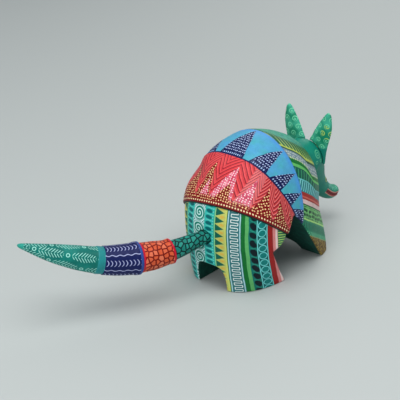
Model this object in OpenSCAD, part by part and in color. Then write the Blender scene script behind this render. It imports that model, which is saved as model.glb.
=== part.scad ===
// A carved wooden armadillo figure, painted and varnished.
// The body, shell, legs, neck and head are one block; the tail and the two ears are carved
// separately and plug into it. The animal looks along -Y and rests on its feet at z = 0.

/* [Body block] */
// Height of the shell's top above the soles
body_h = 81.5; // [76:0.5:88]
// Half width of the body at its widest
half_w = 33.2; // [31:0.2:36]
// Length of the block behind its middle
rear_len = 46.5; // [44:0.5:50]
// Length of the block ahead of its middle
front_len = 45; // [43:0.5:47]
// Height at which the upright walls turn into the dome
wall_h = 38; // [34:1:42]
// How far the shell plates stand proud of the rump
plate_t = 1.2; // [0.8:0.1:1.6]

/* [Legs] */
// Height of the archway between the hind legs
arch_h = 15; // [12:0.5:18]
// Half width of the archway between the hind legs
arch_half_w = 9.8; // [8:0.2:11]
// Height of the low arch between the front feet
front_arch_h = 7.5; // [6:0.5:9]
// Half width of the low arch between the front feet
front_arch_half_w = 11; // [9:0.5:12]
// Height of the pointed side opening between hind and front legs
side_arch_h = 43; // [40:1:46]

/* [Tail] */
// Radius of the peg that holds the tail
tail_peg_r = 2.5; // [2:0.1:3]
// Length of the tail's peg
tail_peg_len = 12; // [9:0.5:14]
// Radius of the tail where it meets the rump
tail_root_r = 3.8; // [3.4:0.1:4.2]

/* [Ears] */
// Radius of the peg that holds each ear
ear_peg_r = 1.5; // [1.2:0.1:1.8]
// Length of each ear's peg
ear_peg_len = 8; // [6:0.5:9]
// Thickness of an ear at its middle
ear_t = 4.2; // [3.4:0.2:5]

/* [Fits] */
// Gap round each peg in its socket
peg_gap = 0.06; // [0.04:0.01:0.09]
// Gap between the faces of two separate pieces
seat_gap = 0.3; // [0.2:0.05:0.4]

/* [Hidden] */
$fn = 48;
big = 200;

// The figure's middle plane and the block's middle, set so that the origin is at the bottom
// centre of the whole figure's bounding box. Inside the modules x = 0 is the middle plane and
// y is measured backwards from the block's middle.
midplane_x = -8.58;
block_y = -26.33;

// Plan outline: nearly square behind, rounder in front, with the front feet reaching forward.
rear_power = 2.65;
front_power = 1.74;
foot_power = 0.86;
foot_reach = 9;
foot_set_back = 4;
foot_narrowing = 0.14;
nape_sag = 2.8;
around = 72;

// Plate boundaries: the hind plate's sloping rim, its leaning front edge, and the shoulder.
rim_z = 17.7;
rim_rise = 0.76;
rim_roll = -0.11;
band_lean = 27;
band_y = 9.9;
band_z = 43.1;
shoulder_y = 1.5;
face_y = -37.5;
chest_y = -39;
overlap = 0.5;
middle_inset = 0.35 * plate_t;
shoulder_inset = 0.6 * plate_t;
dome_top = body_h + middle_inset;

// Sign-keeping power, which makes a circle's coordinate squarer.
function squarer(v, n) = sign(v) * pow(abs(v), 2 / n);

// How far the walls have drawn in towards the feet, and how much of the plan is left in the dome.
function draw_in(z) = z < wall_h ? pow(1 - z / wall_h, 1.7) : 0;
function above_wall(z) = max(0, z - wall_h) / (dome_top - wall_h);
function dome_scale(z) = sqrt(max(0, 1 - pow(above_wall(z), 2)));
function dome_z(t) = wall_h + (dome_top - wall_h) * sin(t);

// A point of the block's skin at plan angle a and height z, a little inside when inset > 0.
function plan_power(a, z) = cos(a) > 0 ? rear_power : front_power + foot_power * draw_in(z);
function plan_len(a, z) = cos(a) > 0 ? rear_len : front_len + foot_reach * draw_in(z);
function sag(y, z) = nape_sag * sin(180 * min(1, max(0, -y / front_len))) * above_wall(z);
function block_point(a, z, inset) =
    let (
        s = dome_scale(z),
        n = plan_power(a, z),
        half_width = half_w * (1 - foot_narrowing * draw_in(z)) * s - inset,
        x = half_width * squarer(sin(a), n),
        length = plan_len(a, z) * s - inset,
        y = length * squarer(cos(a), n) - foot_set_back * draw_in(z)
    )
    [x, y, z - inset * (1 - s) - sag(y, z)];
block_levels = [for (i = [0:7]) wall_h * i / 8, for (t = [0:8:80]) dome_z(t), dome_z(86)];

// Faces between rings of the same number of points, closed by a cap at each end.
module skin(rings) {
    n = len(rings[0]);
    last = len(rings) - 1;
    points = [for (ring = rings, p = ring) p];
    sides = [
        for (i = [0:last - 1], j = [0:n - 1])
            let (a = i * n + j, b = i * n + (j + 1) % n)
            each [[a, a + n, b + n], [a, b + n, b]]
    ];
    caps = [[for (j = [0:n - 1]) j], [for (j = [n - 1:-1:0]) last * n + j]];
    polyhedron(points = points, faces = concat(sides, caps), convexity = 8);
}

module block(inset) {
    angles = [for (i = [0:around - 1]) -i * 360 / around];
    skin([for (z = block_levels) [for (a = angles) block_point(a, z, inset)]]);
}

// Half spaces: behind a leaning plane, ahead of an upright one, and above a sloping one.
module behind(y, z, lean) {
    translate([0, y, z]) rotate([-lean, 0, 0]) translate([-big, 0, -big]) cube(2 * big);
}

module ahead(y) {
    translate([-big, y - 2 * big, -big]) cube(2 * big);
}

module above(z, rise, roll) {
    translate([0, 0, z]) rotate([atan(rise), -atan(roll * cos(atan(rise))), 0])
        translate([-big, -big, 0]) cube(2 * big);
}

// Three overlapping plates, hind, middle and shoulder, each a little lower than the last.
module hind_plate() {
    intersection() {
        block(0);
        behind(band_y, band_z, band_lean);
        above(rim_z, rim_rise, rim_roll);
    }
}

module middle_plate() {
    difference() {
        block(middle_inset);
        behind(band_y + overlap, band_z, band_lean);
        ahead(shoulder_y);
    }
}

module shoulder_plate() {
    difference() {
        block(shoulder_inset);
        behind(shoulder_y + overlap, 0, 0);
        ahead(face_y);
    }
}

// The block under the plates: rump, legs and chest.
module core() {
    difference() {
        block(plate_t);
        ahead(chest_y);
    }
}

// Smooth path through a list of stations, t running from 0 to the last station's number.
function station(list, i) = list[min(max(i, 0), len(list) - 1)];
function along(list, t) =
    let (
        i = min(floor(t), len(list) - 2),
        u = t - i,
        p0 = station(list, i - 1),
        p1 = station(list, i),
        p2 = station(list, i + 1),
        p3 = station(list, i + 2),
        bend = p0 - 2.5 * p1 + 2 * p2 - p3 / 2,
        twist = (p3 - p0) / 2 + 1.5 * (p1 - p2)
    )
    p1 + u * ((p2 - p0) / 2 + u * (bend + u * twist));

// Head and neck stations: y, z, pitch, half width, half depth.
head_stations = [
    [-24, 50, 0, 12, 12],
    [-36, 51.5, 8, 12.6, 12.5],
    [-43, 50.8, 26, 12.8, 12],
    [-50, 43.8, 46, 10.4, 9.6],
    [-56, 35.4, 52, 7.4, 7.4],
    [-62.6, 27.8, 50, 5.8, 6],
    [-70.2, 21.8, 36, 5, 5],
    [-77.5, 18.6, 16, 4.6, 4.4],
    [-82.5, 17.8, 6, 3, 2.8]
];
head_steps = 24;
head_sides = 32;

function head_point(s, a, grow) =
    let (up = (s[4] + grow) * sin(a))
    [(s[3] + grow) * cos(a), s[0] - up * sin(s[2]), s[1] + up * cos(s[2])];

module head(grow) {
    last = len(head_stations) - 1;
    skin([
        for (i = [0:head_steps])
            let (s = along(head_stations, i * last / head_steps))
            [for (j = [0:head_sides - 1]) head_point(s, j * 360 / head_sides, grow)]
    ]);
}

// Everything cut from the block: the pointed side openings and the archways.
function bezier(a, b, c, steps) =
    [for (i = [0:steps]) let (u = i / steps) (1 - u) * (1 - u) * a + 2 * u * (1 - u) * b + u * u * c];

side_heel = [30.5, -1];
side_peak = [-10, side_arch_h];
side_flank = [[-14.2, 33.5], [-15.6, 29.5], [-18, 26.2]];
side_knee = [-23.2, 23.6];
side_calf = [-18.2, 12.3];
side_toe = [-7.8, -1];
peak_width = 2.4;

module side_opening() {
    half_peak = peak_width / 2;
    tip = [side_peak + [half_peak, -1], side_peak - [half_peak, 1]];
    shin = bezier(side_knee, side_calf, side_toe, 5);
    outline = concat([side_heel], tip, side_flank, shin);
    translate([big, 0, 0]) rotate([90, 0, -90]) linear_extrude(2 * big) polygon(outline);
}

module archway(half, h, y0, y1) {
    foot = [[-half - 1, -1], [half + 1, -1]];
    curve = [for (t = [0:12:180]) [half * squarer(cos(t), 4), h * squarer(sin(t), 4)]];
    translate([0, y1, 0]) rotate([90, 0, 0]) linear_extrude(y1 - y0) polygon(concat(foot, curve));
}

// The plain carved block, before its sockets are bored, brought to its exact full height.
module carved_block() {
    resize([0, 0, body_h]) difference() {
        union() {
            hind_plate();
            middle_plate();
            shoulder_plate();
            core();
            head(0);
        }
        side_opening();
        archway(arch_half_w, arch_h, 0, big);
        archway(front_arch_half_w, front_arch_h, -big, 0);
    }
}

// Tail: stations of its centre line, then the radius along it, t counting the stations. Each
// of the two collars is a step up towards the tip.
tail_stations = [
    [2, 45, 31.6], [8.9, 65.5, 28.7], [16.9, 82.6, 28.6],
    [26.6, 100.1, 31.1], [38.3, 118.8, 38.1], [49.3, 135.1, 45.9]
];
tail_profile = [
    [0.1, tail_root_r], [0.45, 4.7], [0.96, 5.6],
    [0.97, 6.9], [1.08, 7], [1.1, 6.7], [1.5, 7.7], [1.94, 8],
    [1.95, 8.8], [2.1, 8.9], [2.16, 8.5], [2.6, 8.1], [2.96, 7.6],
    [2.97, 7.3], [3.12, 7.3], [3.16, 7], [3.6, 6.3], [4, 5.2],
    [4.4, 3.7], [4.8, 1.9], [4.95, 1.1], [5, 0.5]
];
tail_sides = 24;

module tail_shape() {
    end = len(tail_stations) - 1;
    step = 0.02;
    skin([
        for (q = tail_profile)
            let (
                centre = along(tail_stations, q[0]),
                next = along(tail_stations, min(end, q[0] + step)),
                forward = next - along(tail_stations, q[0] - step),
                flat = cross(forward, [0, 0, 1]),
                side = flat / norm(flat),
                up = cross(side, forward) / norm(forward)
            )
            [for (j = [0:tail_sides - 1])
                let (a = -j * 360 / tail_sides)
                centre + q[1] * (side * cos(a) + up * sin(a))]
    ]);
}

// The tail's round root sits in a shallow recess, with the peg in a bore below it.
tail_foot = tail_stations[0];
tail_axis = (tail_stations[1] - tail_foot) / norm(tail_stations[1] - tail_foot);
seat_depth = 1.8;
seat_side_gap = 0.2;
root_len = 4.4;
socket_spare = 0.3;
peg_bury = 1;

module along_tail_axis() {
    translate(tail_foot) rotate([0, acos(tail_axis[2]), atan2(tail_axis[1], tail_axis[0])]) children();
}

module tail_root() {
    along_tail_axis() {
        translate([0, 0, seat_gap - seat_depth]) cylinder(r = tail_root_r, h = root_len - seat_gap);
        translate([0, 0, seat_gap - seat_depth - tail_peg_len])
            cylinder(r = tail_peg_r, h = tail_peg_len + peg_bury);
    }
}

module tail_socket() {
    along_tail_axis() {
        translate([0, 0, -seat_depth]) cylinder(r = tail_root_r + seat_side_gap, h = root_len);
        translate([0, 0, -seat_depth - tail_peg_len - socket_spare])
            cylinder(r = tail_peg_r + peg_gap, h = tail_peg_len + socket_spare + peg_bury);
    }
}

// Ear levels: height, inner and outer reach from the middle plane, share of the thickness.
ear_levels = [
    [52, 3, 13.2, 1], [58, 1.6, 13.8, 1], [62, 1.5, 14.6, 1], [66, 3.6, 15.6, 0.95],
    [69.5, 5.2, 16.3, 0.9], [73, 7.2, 16.5, 0.82], [77, 9.8, 16.1, 0.66], [80, 12, 15.4, 0.45],
    [81.4, 13.2, 14.4, 0.2]
];
ear_sides = 24;
ear_y = -48;
ear_base = [7.9, ear_y, 59.5];
ear_lean = 14;
ear_peg_bury = 3;

module ear_leaf() {
    skin([
        for (q = ear_levels)
            let (mid = (q[1] + q[2]) / 2, half = (q[2] - q[1]) / 2, half_t = q[3] * ear_t / 2)
            [for (j = [0:ear_sides - 1])
                let (a = j * 360 / ear_sides)
                [mid + half * cos(a), ear_y + half_t * sin(a), q[0]]]
    ]);
}

module ear_peg(gap) {
    translate(ear_base) rotate([0, ear_lean, 0]) translate([0, 0, -ear_peg_len - gap])
        cylinder(r = ear_peg_r + gap, h = ear_peg_len + ear_peg_bury);
}

module ear() {
    difference() {
        ear_leaf();
        head(seat_gap);
    }
    ear_peg(0);
}

module body() {
    color("teal") difference() {
        carved_block();
        tail_socket();
        ear_peg(peg_gap);
        mirror([1, 0, 0]) ear_peg(peg_gap);
    }
}

module tail() {
    color("mediumseagreen") {
        tail_shape();
        tail_root();
    }
}

module ear_left() {
    color("seagreen") ear();
}

module ear_right() {
    color("seagreen") mirror([1, 0, 0]) ear();
}

module placed() {
    translate([midplane_x, block_y, 0]) children();
}

placed() body();
placed() tail();
placed() ear_left();
placed() ear_right();
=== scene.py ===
"""A carved and painted wooden armadillo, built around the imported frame.

Each piece is a closed mesh. The body and the ears are surfaces of distance fields, which give
the soft edges of carved and sanded wood; the tail is a loft. Each mesh carries the distances that
its paint follows as attributes, and the painted patterns are shader nodes that read them.
Lengths are millimetres in the carving's own coordinates, as in the part's source: x = 0 is the
middle plane with +x to the animal's left, y runs backwards from the block's middle, z is up.
"""

import math
from functools import partialmethod

import bpy
import numpy as np
import openvdb as vdb
from mathutils import Matrix, Vector


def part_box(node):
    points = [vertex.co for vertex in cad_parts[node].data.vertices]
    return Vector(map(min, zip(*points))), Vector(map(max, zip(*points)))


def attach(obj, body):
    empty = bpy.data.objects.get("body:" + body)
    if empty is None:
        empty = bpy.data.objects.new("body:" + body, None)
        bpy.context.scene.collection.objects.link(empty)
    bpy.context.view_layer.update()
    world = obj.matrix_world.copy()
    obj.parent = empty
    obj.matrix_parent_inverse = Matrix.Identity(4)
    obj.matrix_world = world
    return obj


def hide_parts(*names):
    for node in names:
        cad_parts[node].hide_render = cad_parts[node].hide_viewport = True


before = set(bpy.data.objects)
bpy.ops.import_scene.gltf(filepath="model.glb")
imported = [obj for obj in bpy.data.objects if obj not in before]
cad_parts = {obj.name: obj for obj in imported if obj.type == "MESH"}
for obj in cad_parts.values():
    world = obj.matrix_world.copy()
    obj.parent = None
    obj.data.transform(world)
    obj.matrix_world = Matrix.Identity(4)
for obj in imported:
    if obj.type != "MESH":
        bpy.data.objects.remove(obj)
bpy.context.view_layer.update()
MM = 0.001

# The block
HALF_W = 33.2
REAR_LEN = 46.5
FRONT_LEN = 45.0
WALL_H = 38.0
PLATE_T = 1.2
MIDDLE_INSET = 0.35 * PLATE_T
SHOULDER_INSET = 0.6 * PLATE_T
REAR_POWER = 2.65
FRONT_POWER = 1.74
FOOT_POWER = 0.86
FOOT_REACH = 9.0
FOOT_SET_BACK = 4.0
FOOT_NARROWING = 0.14
NAPE_SAG = 2.8

# Hand work: a hollow in each hip, as a share of the depth and its middle and reach along x, y and
# z, and knife marks
HOLLOW_DEPTH = 2.6
HOLLOWS = [
    (1.0, (20, 16), (34, 14), (61, 5.5)),
    (0.35, (-22, 12), (28, 12), (59, 6)),
]
KNIFE_DEPTH = 0.10

# Grooves along painted boundaries, and how far under the skin a sawn face starts
GROOVE_W = 0.45
GROOVE_DEPTH = 0.25
CUT_DEPTH = PLATE_T + 0.45

# Plate boundaries
RIM_Z = 17.7
RIM_RISE = 0.76
RIM_ROLL = -0.11
BAND_LEAN = math.radians(27)
BAND_Y = 9.9
BAND_Z = 43.1
SHOULDER_Y = 1.5
FACE_Y = -37.5
CHEST_Y = -39.0

# Openings
ARCH_H = 15.0
ARCH_HALF_W = 9.8
FRONT_ARCH_H = 7.5
FRONT_ARCH_HALF_W = 11.0
SIDE_HEEL = (-30.5, -1.0)
SIDE_PEAK = ((8.8, 42.0), (11.2, 42.0))
SIDE_FLANK = ((14.2, 33.5), (15.6, 29.5), (18.0, 26.2))
SIDE_KNEE = (23.2, 23.6)
SIDE_CALF = (18.2, 12.3)
SIDE_TOE = (7.8, -1.0)

# Head stations: y, z, half width, half depth. The last one is where the round nose starts.
HEAD_STATIONS = [
    (-24, 50, 12, 12),
    (-36, 51.5, 12.6, 12.5),
    (-43, 50.8, 12.8, 12),
    (-50, 43.8, 10.4, 9.6),
    (-56, 35.4, 7.4, 7.4),
    (-62.6, 27.8, 5.8, 6),
    (-70.2, 21.8, 5, 5),
    (-75.2, 19.3, 4.8, 4.7),
    (-78.7, 18.5, 4.3, 4.2),
]
NOSE_Z = HEAD_STATIONS[-1][1]
NOSE_TIP_Y = HEAD_STATIONS[-1][0] - HEAD_STATIONS[-1][3]
NOSTRIL_X = 1.5
NOSTRIL_RISE = 1.4
MOUTH_LEN = 15.0
MOUTH_DROP = 0.9
EYE = (4.2, -62.6, 32.6)
EYE_R = 1.4

# Tail: stations of its centre line, and the radius along it, t counting the stations
TAIL_STATIONS = [
    (2, 45, 31.6),
    (8.9, 65.5, 28.7),
    (16.9, 82.6, 28.6),
    (26.6, 100.1, 31.1),
    (38.3, 118.8, 38.1),
    (49.3, 135.1, 45.9),
]
TAIL_FOOT = TAIL_STATIONS[0]
TAIL_AXIS = np.subtract(TAIL_STATIONS[1], TAIL_FOOT)
TAIL_AXIS /= np.linalg.norm(TAIL_AXIS)
TAIL_ROOT_R = 3.8
TAIL_PROFILE = [
    (0.1, TAIL_ROOT_R), (0.45, 4.7), (0.95, 5.6), (0.965, 6.5), (0.985, 6.95), (1.07, 6.95),
    (1.11, 6.7), (1.5, 7.7), (1.935, 8.0), (1.95, 8.5), (1.975, 8.9), (2.1, 8.85), (2.16, 8.5),
    (2.6, 8.1), (2.955, 7.6), (2.97, 7.15), (2.985, 7.0), (3.0, 7.25), (3.12, 7.3), (3.16, 7.0),
    (3.6, 6.3), (4.0, 5.2), (4.4, 3.7), (4.8, 1.9), (4.95, 1.15), (5.0, 0.5),
]
TAIL_PEG_R = 2.5
TAIL_PEG_LEN = 12.0
TAIL_SEAT = 1.8
SEAT_GAP = 0.3
BORE_GAP = 0.12

# Ears: height, inner and outer reach from the middle plane, share of the thickness
EAR_LEVELS = [
    (50, 3, 13.0, 1),
    (58, 1.6, 13.8, 1),
    (62, 1.5, 14.6, 1),
    (66, 3.6, 15.6, 0.95),
    (69.5, 5.2, 16.3, 0.9),
    (73, 7.2, 16.5, 0.82),
    (77, 9.8, 16.1, 0.66),
    (80, 12, 15.4, 0.42),
    (81.4, 13.4, 14.3, 0.15),
]
EAR_T = 4.2
EAR_Y = -48.0
EAR_PEG_R = 1.5
EAR_PEG_LEN = 8.0
EAR_BASE = (7.9, EAR_Y, 59.5)
EAR_LEAN = math.radians(14)
EAR_AXIS = np.array([math.sin(EAR_LEAN), 0, math.cos(EAR_LEAN)])

# Fineness of the meshes
BODY_CELL = 0.45
EAR_CELL = 0.28
TAIL_SIDES = 80
TAIL_STEPS = 60

# The carving's origin in the frame, found from the two mirrored ears
_left_lo, _left_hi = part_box("ear_left")
_right_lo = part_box("ear_right")[0]
ORIGIN = (
    (_right_lo[0] + _left_hi[0]) / 2 / MM,
    (_left_lo[1] + _left_hi[1]) / 2 / MM - EAR_Y,
    0.0,
)
TOP_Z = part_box("body")[1][2] / MM
DOME_H = TOP_Z + MIDDLE_INSET - WALL_H


# -------- distances


def soft_max(a, b, r):
    """The larger of two distances, with a rounded edge of about radius r."""
    return np.maximum(a, b) + np.maximum(r - np.abs(a - b), 0) ** 2 / (4 * r)


def soft_min(a, b, r):
    return -soft_max(-a, -b, r)


def hermite(at, knots, values):
    """A smooth curve through the knots."""
    knots, values = np.asarray(knots, float), np.asarray(values, float)
    slopes = np.gradient(values, knots)
    i = np.clip(np.searchsorted(knots, at) - 1, 0, len(knots) - 2)
    step = knots[i + 1] - knots[i]
    u = np.clip((at - knots[i]) / step, 0, 1)
    start, end = values[i], values[i + 1]
    rise = u * u * (3 - 2 * u)
    bend = step * (slopes[i] * u * (1 - u) ** 2 - slopes[i + 1] * u * u * (1 - u))
    return start + rise * (end - start) + bend


def along_stations(stations, start, total):
    """Even counts along some stations from start to the last, and the smooth curve there."""
    knots = np.arange(len(stations))
    at = np.linspace(start, knots[-1], total)
    return at, np.stack([hermite(at, knots, v) for v in np.transpose(stations)], axis=1)


def grid_axes(low, high, cell):
    """The three axes of a grid, shaped so that they broadcast to the whole of it."""
    axes = [np.arange(a, b + cell, cell, dtype=np.float32) for a, b in zip(low, high)]
    return axes[0][:, None, None], axes[1][None, :, None], axes[2][None, None, :]


def scaled(field, cell):
    """A field that is zero on a surface, scaled to be the distance near that surface."""
    slopes = np.gradient(field, cell)
    return field / np.sqrt(sum(s * s for s in slopes) + 1e-9)


def draw_in(z):
    return np.clip(1 - z / WALL_H, 0, 1) ** 1.7


def above_wall(z):
    return np.clip(z - WALL_H, 0, None) / DOME_H


def sagged(y, z):
    """Height before the nape's sag."""
    return z + NAPE_SAG * np.sin(math.pi * np.clip(-y / FRONT_LEN, 0, 1)) * above_wall(z)


def plan_shares(x, y, z):
    """How far out a point is, as shares of the block's half width and length, and the power."""
    k = draw_in(z)
    y = y + FOOT_SET_BACK * k
    power = np.where(y > 0, REAR_POWER, FRONT_POWER + FOOT_POWER * k)
    length = np.where(y > 0, REAR_LEN, FRONT_LEN + FOOT_REACH * k)
    return x / (HALF_W * (1 - FOOT_NARROWING * k)), y / length, power


def block_field(x, y, z, cell):
    """Distance to the plain block's skin, with its hollows and the unevenness of knife work."""
    z = sagged(y, z)
    wide, long, power = plan_shares(x, y, z)
    plan = (np.abs(wide) ** power + np.abs(long) ** power) ** (1 / power)
    distance = scaled(np.sqrt(plan**2 + above_wall(z) ** 2) - 1, cell)
    hollow = sum(
        share * bell(x, *across) * bell(y, *back) * bell(z, *up)
        for share, across, back, up in HOLLOWS
    )
    uneven = np.sin(x / 3.1 + 1.3 * np.sin(y / 7.3)) * np.sin(z / 3.7 + y / 5.9)
    return distance + HOLLOW_DEPTH * hollow + KNIFE_DEPTH * uneven


def bell(value, middle, width):
    return np.exp(-(((value - middle) / width) ** 2))


def band_distance(y, z):
    """Positive behind the leaning plane between the hind and middle plates."""
    return (y - BAND_Y) * math.cos(BAND_LEAN) - (z - BAND_Z) * math.sin(BAND_LEAN)


def rim_distance(x, y, z):
    """Positive above the hind plate's sloping lower rim."""
    level = z - RIM_Z - RIM_RISE * y - RIM_ROLL * x
    return level / math.sqrt(1 + RIM_RISE**2 + RIM_ROLL**2)


def bezier(a, b, c, steps):
    a, b, c = (np.array(p) for p in (a, b, c))
    return [(1 - u) ** 2 * a + 2 * u * (1 - u) * b + u * u * c for u in np.linspace(0, 1, steps)]


def polygon_distance(p, q, outline):
    """Distance to a polygon in a plane, negative inside."""
    nearest = np.full(np.broadcast(p, q).shape, 1e9, np.float32)
    inside = np.zeros(nearest.shape, bool)
    for a, b in zip(outline, outline[1:] + outline[:1]):
        edge = b - a
        share = ((p - a[0]) * edge[0] + (q - a[1]) * edge[1]) / (edge @ edge)
        share = np.clip(share, 0, 1)
        nearest = np.minimum(
            nearest, (p - a[0] - share * edge[0]) ** 2 + (q - a[1] - share * edge[1]) ** 2
        )
        crosses = (a[1] > q) != (b[1] > q)
        rise = edge[1] if edge[1] else 1e-9
        inside ^= crosses & (p < a[0] + edge[0] * (q - a[1]) / rise)
    return np.sqrt(nearest) * np.where(inside, -1, 1)


def side_opening(y, z):
    corners = [np.array(p) for p in (SIDE_HEEL, *SIDE_PEAK, *SIDE_FLANK)]
    return polygon_distance(y, z, corners + bezier(SIDE_KNEE, SIDE_CALF, SIDE_TOE, 10))


def archway(x, z, half, height, cell):
    share = ((np.abs(x) / half) ** 4 + (np.maximum(z, 0) / height) ** 4) ** 0.25
    flat = (share - 1)[:, 0, :]
    slope = np.gradient(flat, cell)
    return (flat / np.sqrt(slope[0] ** 2 + slope[1] ** 2 + 1e-9))[:, None, :]


def head_place(y, z):
    """The nearest point of the centre line: how far behind the nose's tip it lies, the
    height above it, the distance from it, and the half width and half depth there."""
    line = along_stations(HEAD_STATIONS, 0, 200)[1]
    steps = np.diff(line[:, :2], axis=0)
    before_nose = np.append(np.cumsum(np.hypot(*steps.T)[::-1])[::-1], 0)
    y, z = np.broadcast_arrays(y, z)
    shape = y.shape
    place = np.empty((y.size, 5), np.float32)
    for start in range(0, y.size, 20000):
        part = slice(start, start + 20000)
        dy = y.reshape(-1)[part, None] - line[None, :, 0]
        dz = z.reshape(-1)[part, None] - line[None, :, 1]
        near = np.argmin(dy * dy + dz * dz, axis=1)
        pick = np.arange(len(near)), near
        step = steps[np.minimum(near, len(steps) - 1)]
        step = step / np.hypot(*step.T)[:, None]
        over = dz[pick] * -step[:, 0] + dy[pick] * step[:, 1]
        apart = np.hypot(dy[pick], dz[pick])
        place[part] = np.stack([before_nose[near], over, apart, *line[near, 2:].T], axis=1)
    return [column.reshape(shape) for column in place.T]


def head_field(x, y, z, cell):
    """Distance to the head, with its mouth line and nostrils cut in and its eyes raised."""
    back, over, apart, half_w, half_h = head_place(y, z)
    share = np.sqrt((x / half_w) ** 2 + (apart / half_h) ** 2)
    head = scaled(share - 1, cell)
    lip = np.hypot(over + MOUTH_DROP + 0.02 * back, np.maximum(back - MOUTH_LEN, 0))
    head = soft_max(head, 0.55 - np.hypot(lip, head * 1.2), 0.5)
    eye = np.sqrt((np.abs(x) - EYE[0]) ** 2 + (y - EYE[1]) ** 2 + (z - EYE[2]) ** 2)
    head = soft_min(head, eye - EYE_R, 0.5)
    out, along, up = np.abs(x) - NOSTRIL_X, y - NOSE_TIP_Y - 0.4, z - NOSE_Z - NOSTRIL_RISE
    nostril = np.sqrt(out**2 + along**2 + up**2)
    return soft_max(head, 0.7 - nostril, 0.3)


def rod(x, y, z, base, axis, radius, low, high):
    """Distance to a cylinder that runs from low to high along an axis through base."""
    dx, dy, dz = x - base[0], y - base[1], z - base[2]
    along = dx * axis[0] + dy * axis[1] + dz * axis[2]
    off = np.sqrt(np.maximum(dx * dx + dy * dy + dz * dz - along * along, 0))
    return np.maximum(off - radius, np.maximum(low - along, along - high))


def ear_rods(x, y, z, gap, low, high):
    """Distance to rods along both ears' pegs, wider than the pegs by a gap."""
    return rod(np.abs(x), y, z, EAR_BASE, EAR_AXIS, EAR_PEG_R + gap, low, high)


def groove(skin, distance):
    """How much a painted boundary's shallow groove lowers the skin."""
    return GROOVE_DEPTH * bell(distance, 0, GROOVE_W) * bell(skin, 0, 2.0)


def body_fields(x, y, z, cell):
    """The body's distance field, its block's skin, and the head's own field."""
    skin = block_field(x, y, z, cell)
    band = band_distance(y, z)
    rim = rim_distance(x, y, z)
    hind = soft_max(soft_max(skin, -band, 0.5), -rim, 0.6)
    middle = soft_max(soft_max(skin + MIDDLE_INSET, band - 0.5, 0.3), SHOULDER_Y - y, 0.5)
    front = soft_max(soft_max(skin + SHOULDER_INSET, y - SHOULDER_Y - 1, 0.3), FACE_Y - y, 0.8)
    core = soft_max(skin + PLATE_T, CHEST_Y - y, 1.2)
    block = np.minimum(np.minimum(hind, middle), np.minimum(front, core))
    block = block + groove(skin, band) * (rim > -1)
    head = head_field(x, y, z, cell)
    block = soft_max(block, -side_opening(y, z), 1.2)
    hind_arch = np.maximum(archway(x, z, ARCH_HALF_W, ARCH_H, cell), -y)
    front_arch = np.maximum(archway(x, z, FRONT_ARCH_HALF_W, FRONT_ARCH_H, cell), y)
    block = soft_max(soft_max(block, -hind_arch, 1.0), -front_arch, 1.0)
    body = soft_min(block, head, 1.0)
    body = soft_max(body, -z, 0.6)
    body = np.maximum(body, -ear_rods(x, y, z, BORE_GAP, -EAR_PEG_LEN, 6))
    seat = rod(x, y, z, TAIL_FOOT, TAIL_AXIS, TAIL_ROOT_R + 0.2, -TAIL_SEAT, 9)
    bore_end = -TAIL_SEAT - TAIL_PEG_LEN
    bore = rod(x, y, z, TAIL_FOOT, TAIL_AXIS, TAIL_PEG_R + BORE_GAP, bore_end, 9)
    body = np.maximum(body, -np.minimum(seat, bore))
    return body, block, skin, head


def sample(field, points, low, cell):
    """A grid's value at any points inside it."""
    at = (points - np.array(low)) / cell
    base = np.clip(np.floor(at).astype(int), 0, np.array(field.shape) - 2)
    share = at - base
    total = 0
    for corner in np.ndindex(2, 2, 2):
        weight = np.prod(np.where(corner, share, 1 - share), axis=1)
        total = total + weight * field[tuple((base + corner).T)]
    return total


# -------- meshes


def field_surface(field, low, cell):
    """The zero surface of a distance grid, as points and outward quads."""
    grid = vdb.FloatGrid()
    grid.copyFromArray(np.ascontiguousarray(field, np.float32))
    points, quads = grid.convertToQuads(isovalue=0)
    return points * cell + np.array(low), quads


def add_object(name, data):
    obj = bpy.data.objects.new(name, data)
    bpy.context.scene.collection.objects.link(obj)
    return obj


def make_mesh(name, points, faces, attributes, regions):
    """A smooth-shaded object from points in the carving's millimetres, with a number for the
    material of each face."""
    mesh = bpy.data.meshes.new(name)
    placed = (np.asarray(points, float) + np.array(ORIGIN)) * MM
    mesh.from_pydata(placed.tolist(), [], [list(face) for face in faces])
    for key, values in attributes.items():
        layer = mesh.attributes.new(key, "FLOAT", "POINT")
        layer.data.foreach_set("value", np.asarray(values, np.float32))
    mesh.polygons.foreach_set("material_index", np.asarray(regions, np.int32))
    mesh.shade_smooth()
    return add_object(name, mesh)


BAND_SPREAD = 0.21


def plan_arc(x, y, z):
    """Distance round the plan outline from the middle of the rump, with the animal's left
    positive. It counts less towards the feet, so that painted bands widen with the leg."""
    turn = np.radians(np.linspace(0, 180, 721))
    power = np.where(np.cos(turn) > 0, REAR_POWER, FRONT_POWER)
    length = np.where(np.cos(turn) > 0, REAR_LEN, FRONT_LEN)
    px = HALF_W * np.sin(turn) ** (2 / power)
    py = length * np.sign(np.cos(turn)) * np.abs(np.cos(turn)) ** (2 / power)
    arc = np.append(0, np.cumsum(np.hypot(np.diff(px), np.diff(py))))
    across, along, power = plan_shares(x, y, sagged(y, z))
    angle = np.arctan2(np.abs(across) ** (power / 2), np.sign(along) * np.abs(along) ** (power / 2))
    return np.sign(x) * np.interp(angle, turn, arc) / (1 + BAND_SPREAD * draw_in(z))


def girth(x, y, z):
    """Distance over the back from the middle line, counted on the widest section."""
    turn = np.linspace(0, math.pi / 2, 200)
    middle = (turn[1:] + turn[:-1]) / 2
    steps = np.hypot(HALF_W * np.cos(middle), DOME_H * np.sin(middle)) * np.diff(turn)
    arc = np.append(0, np.cumsum(steps))
    over = above_wall(sagged(y, z))
    on_dome = np.interp(np.arctan2(np.abs(x) / HALF_W, over), turn, arc)
    return np.sign(x) * (on_dome + np.clip(WALL_H - z, 0, None))


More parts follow.
